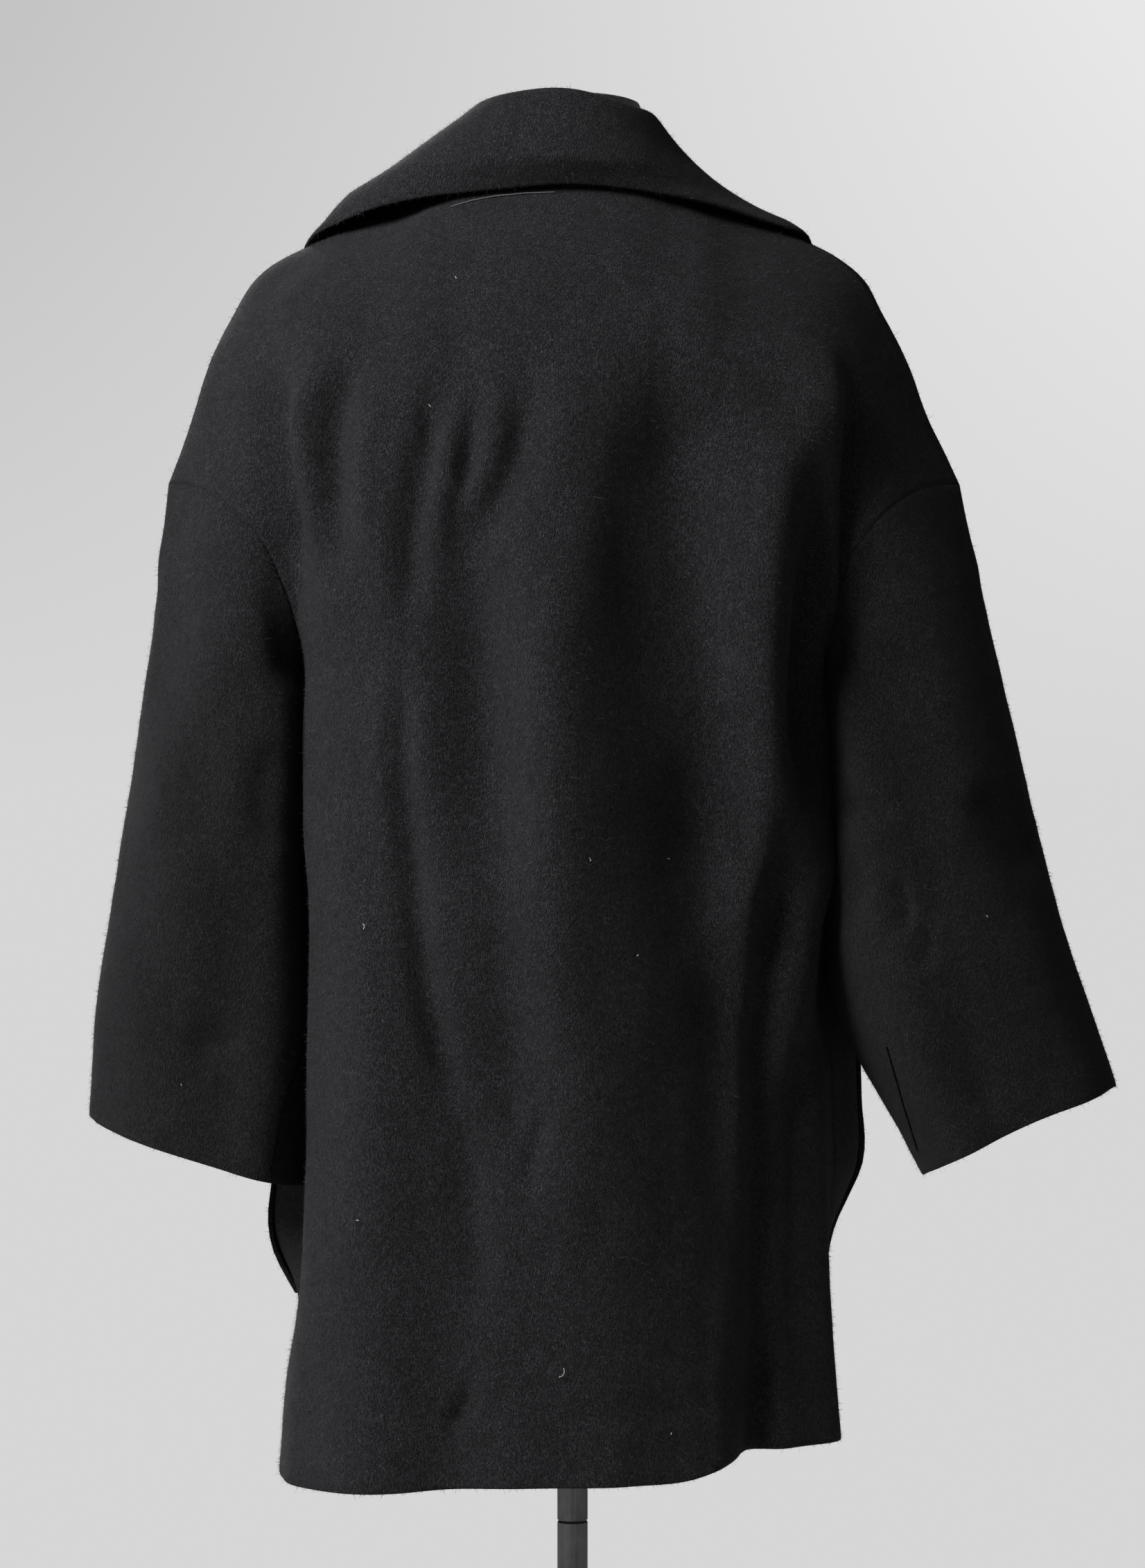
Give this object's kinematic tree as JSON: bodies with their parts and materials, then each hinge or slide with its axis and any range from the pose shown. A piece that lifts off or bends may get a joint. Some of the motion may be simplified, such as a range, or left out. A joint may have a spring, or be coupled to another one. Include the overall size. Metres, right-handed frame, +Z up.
{
  "type": "short coat on dress form",
  "caption": "Short black wool coat with a wide shawl collar, dropped sleeves and patch pockets, hung on a limbless dress form with a steel pole and a round base.",
  "frame": {"origin": "on the floor at the middle of the base's underside, under the pole", "axes": "+Z up the pole, the coat's front faces -Y and the wearer's left is +X"},
  "size_m": [0.6935, 0.38, 1.4613],
  "materials": {
    "black_wool": "brushed, napped",
    "form_jersey": "matte jersey",
    "brushed_steel": "satin",
    "base_plate": "satin"
  },
  "bodies": {
    "root": {"back": "black_wool", "front_left": "black_wool", "front_right": "black_wool", "sleeve_left": "black_wool", "sleeve_right": "black_wool", "collar": "black_wool", "pocket_left": "black_wool", "pocket_right": "black_wool", "form_body": "form_jersey", "form_neck_cap": "brushed_steel", "pole_upper": "brushed_steel", "pole_lower": "brushed_steel", "base": "base_plate"}
  },
  "joints": []
}
